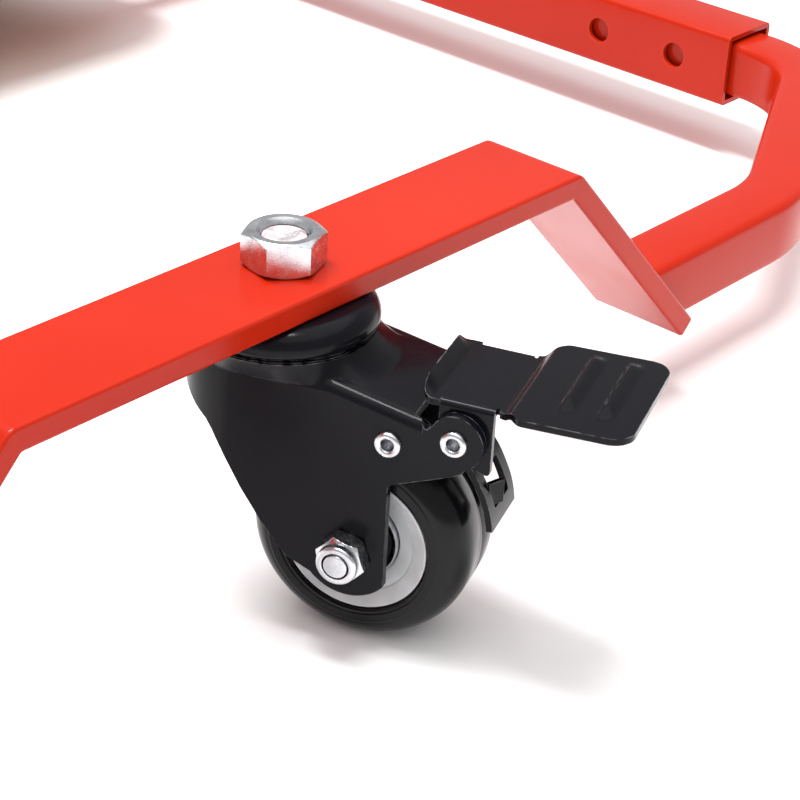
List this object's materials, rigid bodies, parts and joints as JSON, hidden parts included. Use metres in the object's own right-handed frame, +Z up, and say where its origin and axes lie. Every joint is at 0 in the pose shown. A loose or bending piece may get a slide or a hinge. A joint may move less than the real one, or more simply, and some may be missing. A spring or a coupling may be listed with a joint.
{
  "type": "mechanics creeper",
  "caption": "Low rolling mechanics creeper: looped steel tube frame with raised straps over swivel brake casters and a padded deck.",
  "frame": {"origin": "on the floor under the middle of the frame", "axes": "+Y from the foot end to the head end, +X to the right seen from the foot end, +Z up"},
  "size_m": [0.632, 1.1728, 0.0984],
  "materials": {
    "red_powder_coat": "glossy orange-red powder coat",
    "black_paint": "satin black paint on stamped steel",
    "zinc": "bright zinc plate",
    "polyurethane": "glossy black polyurethane",
    "hub_plastic": "light grey moulded plastic",
    "bearing_steel": "polished bearing rings with a dark seal",
    "vinyl": "black grained vinyl",
    "plywood": "plain plywood"
  },
  "bodies": {
    "root": {"caster_strap_foot": "red_powder_coat", "caster_strap_head": "red_powder_coat", "caster_strap_right": "red_powder_coat", "caster_strap_left": "red_powder_coat", "corner_tube_foot_left": "red_powder_coat", "side_rail_foot_left": "red_powder_coat", "corner_tube_foot_right": "red_powder_coat", "side_rail_foot_right": "red_powder_coat", "corner_tube_head_left": "red_powder_coat", "side_rail_head_left": "red_powder_coat", "corner_tube_head_right": "red_powder_coat", "side_rail_head_right": "red_powder_coat", "cross_rail_foot": "red_powder_coat", "cross_rail_middle": "red_powder_coat", "cross_rail_head": "red_powder_coat", "deck_board": "plywood", "hip_pad": "vinyl", "back_pad": "vinyl", "head_pad": "vinyl", "foot_caster_kingpin_nut": "zinc", "foot_caster_top_race": "black_paint", "head_caster_kingpin_nut": "zinc", "head_caster_top_race": "black_paint", "right_caster_kingpin_nut": "zinc", "right_caster_top_race": "black_paint", "left_caster_kingpin_nut": "zinc", "left_caster_top_race": "black_paint"},
    "foot_swivel": {"foot_caster_fork": "black_paint", "foot_caster_axle_bolt": "zinc", "foot_caster_axle_nut": "zinc", "foot_caster_pedal_rivet": "zinc", "foot_caster_tongue_rivet": "zinc"},
    "foot_wheel": {"foot_caster_tyre": "polyurethane", "foot_caster_hub": "hub_plastic", "foot_caster_bearing": "bearing_steel"},
    "foot_pedal": {"foot_caster_brake_pedal": "black_paint"},
    "foot_tongue": {"foot_caster_brake_tongue": "black_paint"},
    "head_swivel": {"head_caster_fork": "black_paint", "head_caster_axle_bolt": "zinc", "head_caster_axle_nut": "zinc", "head_caster_pedal_rivet": "zinc", "head_caster_tongue_rivet": "zinc"},
    "head_wheel": {"head_caster_tyre": "polyurethane", "head_caster_hub": "hub_plastic", "head_caster_bearing": "bearing_steel"},
    "head_pedal": {"head_caster_brake_pedal": "black_paint"},
    "head_tongue": {"head_caster_brake_tongue": "black_paint"},
    "right_swivel": {"right_caster_fork": "black_paint", "right_caster_axle_bolt": "zinc", "right_caster_axle_nut": "zinc"},
    "right_wheel": {"right_caster_tyre": "polyurethane", "right_caster_hub": "hub_plastic", "right_caster_bearing": "bearing_steel"},
    "left_swivel": {"left_caster_fork": "black_paint", "left_caster_axle_bolt": "zinc", "left_caster_axle_nut": "zinc"},
    "left_wheel": {"left_caster_tyre": "polyurethane", "left_caster_hub": "hub_plastic", "left_caster_bearing": "bearing_steel"}
  },
  "joints": [
    {"name": "foot_caster_swivel", "type": "hinge", "parent": "root", "child": "foot_swivel", "pos_m": [0, -0.505, 0.07], "axis": [0, 0, 1], "continuous": true},
    {"name": "foot_wheel_spin", "type": "hinge", "parent": "foot_swivel", "child": "foot_wheel", "pos_m": [0.00821, -0.52649, 0.0254], "axis": [0.9342, 0.3567, 0], "continuous": true},
    {"name": "foot_brake_pedal", "type": "hinge", "parent": "foot_swivel", "child": "foot_pedal", "pos_m": [0.0162, -0.54741, 0.0582], "axis": [0.9342, 0.3567, 0], "range_deg": [0, 16]},
    {"name": "foot_brake_tongue", "type": "hinge", "parent": "foot_swivel", "child": "foot_tongue", "pos_m": [0.01113, -0.53415, 0.0545], "axis": [0.9342, 0.3567, 0], "range_deg": [0, 6.5]},
    {"name": "head_caster_swivel", "type": "hinge", "parent": "root", "child": "head_swivel", "pos_m": [0, 0.505, 0.07], "axis": [0, 0, 1], "continuous": true},
    {"name": "head_wheel_spin", "type": "hinge", "parent": "head_swivel", "child": "head_wheel", "pos_m": [-0.00821, 0.52649, 0.0254], "axis": [-0.9342, -0.3567, 0], "continuous": true},
    {"name": "head_brake_pedal", "type": "hinge", "parent": "head_swivel", "child": "head_pedal", "pos_m": [-0.0162, 0.54741, 0.0582], "axis": [-0.9342, -0.3567, 0], "range_deg": [0, 16]},
    {"name": "head_brake_tongue", "type": "hinge", "parent": "head_swivel", "child": "head_tongue", "pos_m": [-0.01113, 0.53415, 0.0545], "axis": [-0.9342, -0.3567, 0], "range_deg": [0, 6.5]},
    {"name": "right_caster_swivel", "type": "hinge", "parent": "root", "child": "right_swivel", "pos_m": [0.2944, 0, 0.07], "axis": [0, 0, 1], "continuous": true},
    {"name": "right_wheel_spin", "type": "hinge", "parent": "right_swivel", "child": "right_wheel", "pos_m": [0.28884, 0.02232, 0.0254], "axis": [-0.9703, -0.2419, 0], "continuous": true},
    {"name": "left_caster_swivel", "type": "hinge", "parent": "root", "child": "left_swivel", "pos_m": [-0.2944, 0, 0.07], "axis": [0, 0, 1], "continuous": true},
    {"name": "left_wheel_spin", "type": "hinge", "parent": "left_swivel", "child": "left_wheel", "pos_m": [-0.28884, -0.02232, 0.0254], "axis": [0.9703, 0.2419, 0], "continuous": true}
  ],
  "couplings": [
    {"joint": "foot_brake_tongue", "follows": "foot_brake_pedal", "ratio": 0.4},
    {"joint": "head_brake_tongue", "follows": "head_brake_pedal", "ratio": 0.4}
  ]
}
